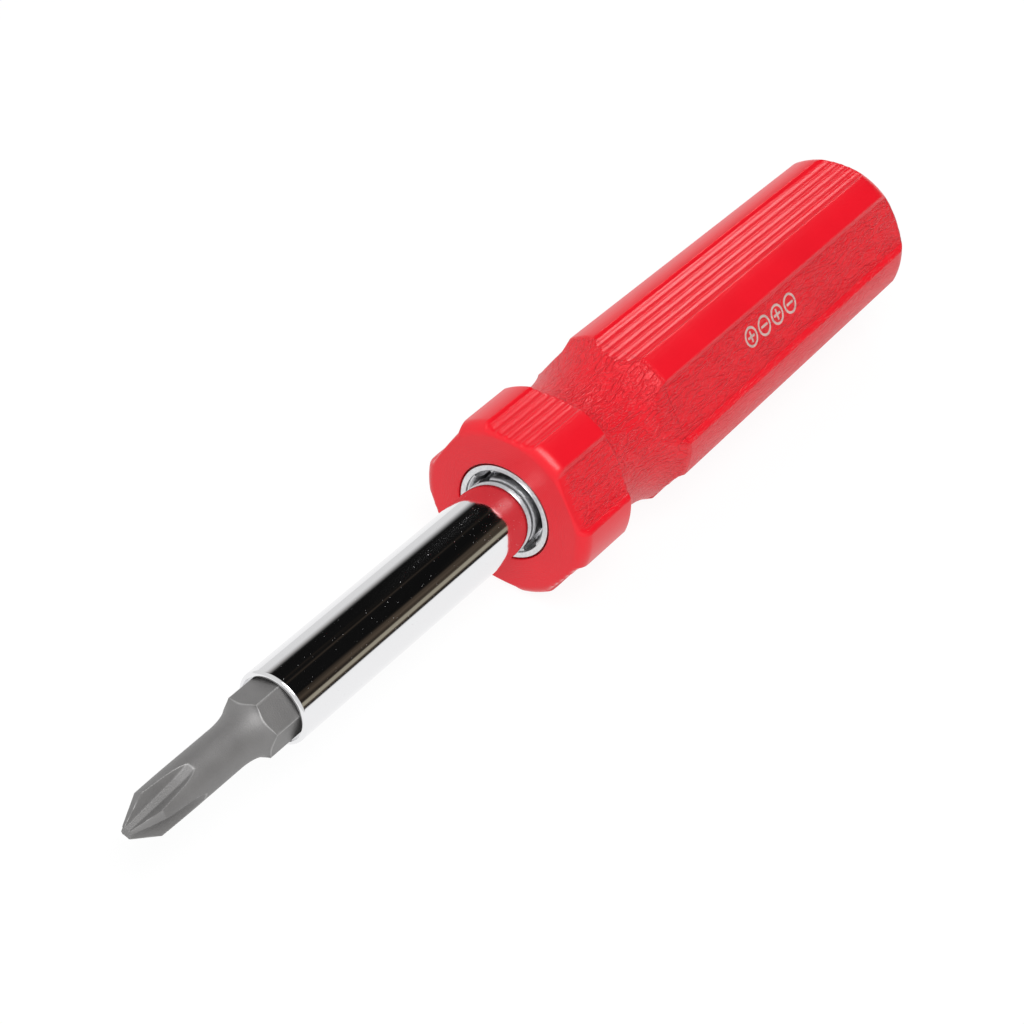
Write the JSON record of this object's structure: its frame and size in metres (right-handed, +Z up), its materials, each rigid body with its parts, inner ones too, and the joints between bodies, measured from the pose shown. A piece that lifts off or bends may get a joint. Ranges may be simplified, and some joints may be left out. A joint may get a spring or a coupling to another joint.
{
  "type": "pocket screwdriver",
  "caption": "Pocket screwdriver: a lobed moulded handle with a ribbed collar and narrow neck holds a reversible chromed tube with a double-ended hexagonal bit in each end.",
  "frame": {"origin": "centre of the overall box at its base, which is the plane that the lowest lobes of the collar touch", "axes": "+X along the tool from the tip towards the butt of the handle, +Z up through a ribbed panel, +Y to the left of the tip seen from behind"},
  "size_m": [0.1344, 0.0214, 0.0205],
  "materials": {
    "handle_plastic": "moulded, satin with leather grain on the neck and every other panel",
    "ferrule_steel": "bright zinc-plated steel",
    "tube_chrome": "mirror chrome plate",
    "bit_steel": "blasted satin grey steel with bright edges",
    "spring_steel": "plain spring steel"
  },
  "bodies": {
    "handle": {"handle": "handle_plastic", "ferrule": "ferrule_steel", "drive_sleeve": "ferrule_steel", "retaining_ring": "spring_steel"},
    "shaft": {"shaft_tube": "tube_chrome"},
    "front_bit": {"front_bit": "bit_steel", "front_detent_spring": "spring_steel"},
    "rear_bit": {"rear_bit": "bit_steel", "rear_detent_spring": "spring_steel"},
    "front_ball": {"front_detent_ball": "spring_steel"},
    "rear_ball": {"rear_detent_ball": "spring_steel"}
  },
  "joints": [
    {"name": "shaft_slide", "type": "slide", "parent": "handle", "child": "shaft", "axis": [-1, 0, 0], "range_m": [0, 0.12]},
    {"name": "front_bit_slide", "type": "slide", "parent": "shaft", "child": "front_bit", "axis": [-1, 0, 0], "range_m": [0, 0.048]},
    {"name": "rear_bit_slide", "type": "slide", "parent": "shaft", "child": "rear_bit", "axis": [1, 0, 0], "range_m": [0, 0.048]},
    {"name": "front_ball_press", "type": "slide", "parent": "front_bit", "child": "front_ball", "axis": [0, 0.6561, -0.7547], "range_m": [0, 0.0003], "stiffness_N_per_m": 300, "deforming": ["front_detent_spring"]},
    {"name": "rear_ball_press", "type": "slide", "parent": "rear_bit", "child": "rear_ball", "axis": [0, 0.6561, -0.7547], "range_m": [0, 0.0003], "stiffness_N_per_m": 300, "deforming": ["rear_detent_spring"]}
  ],
  "couplings": [
    {"joint": "rear_bit_slide", "follows": "shaft_slide", "ratio": 0.4}
  ]
}
